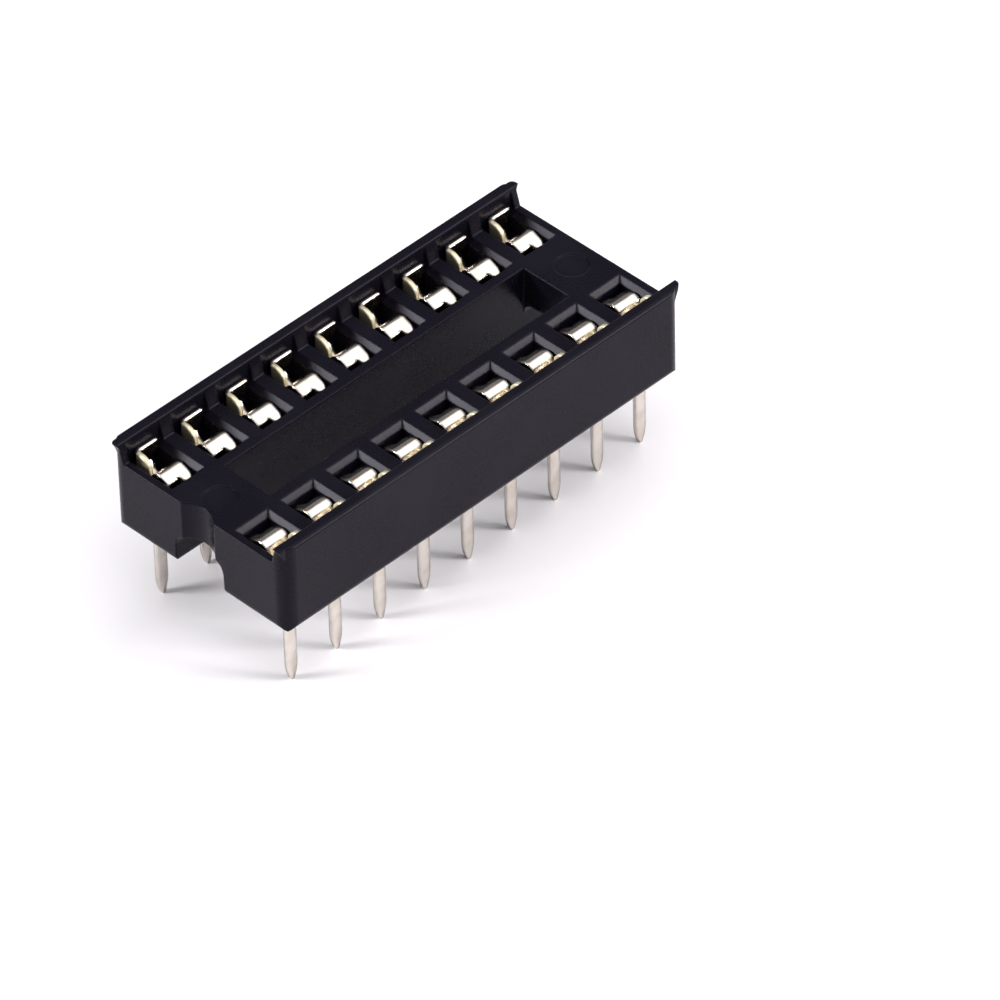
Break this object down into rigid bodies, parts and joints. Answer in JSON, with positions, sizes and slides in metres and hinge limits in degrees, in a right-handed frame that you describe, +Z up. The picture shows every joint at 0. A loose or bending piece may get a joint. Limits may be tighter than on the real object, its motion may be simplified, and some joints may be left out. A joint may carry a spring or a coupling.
{
  "type": "ic socket",
  "caption": "Low black through-hole socket for a dual in-line chip, with sprung dual-leaf contacts along both sides, an open middle and a polarity notch.",
  "frame": {"origin": "centre of the pattern of tails, in the plane of the board that the housing sits on", "axes": "+X along the rows away from the notched end, +Y across the rows, +Z up out of the board"},
  "size_m": [0.0232, 0.0102, 0.0083],
  "materials": {
    "housing_plastic": "black glass-filled polyester, fine moulded satin",
    "contact_metal": "bright tin plate over phosphor bronze"
  },
  "bodies": {
    "root": {"housing": "housing_plastic", "contact_01": "contact_metal", "contact_02": "contact_metal", "contact_03": "contact_metal", "contact_04": "contact_metal", "contact_05": "contact_metal", "contact_06": "contact_metal", "contact_07": "contact_metal", "contact_08": "contact_metal", "contact_09": "contact_metal", "contact_10": "contact_metal", "contact_11": "contact_metal", "contact_12": "contact_metal", "contact_13": "contact_metal", "contact_14": "contact_metal", "contact_15": "contact_metal", "contact_16": "contact_metal", "contact_17": "contact_metal", "contact_18": "contact_metal"}
  },
  "joints": []
}
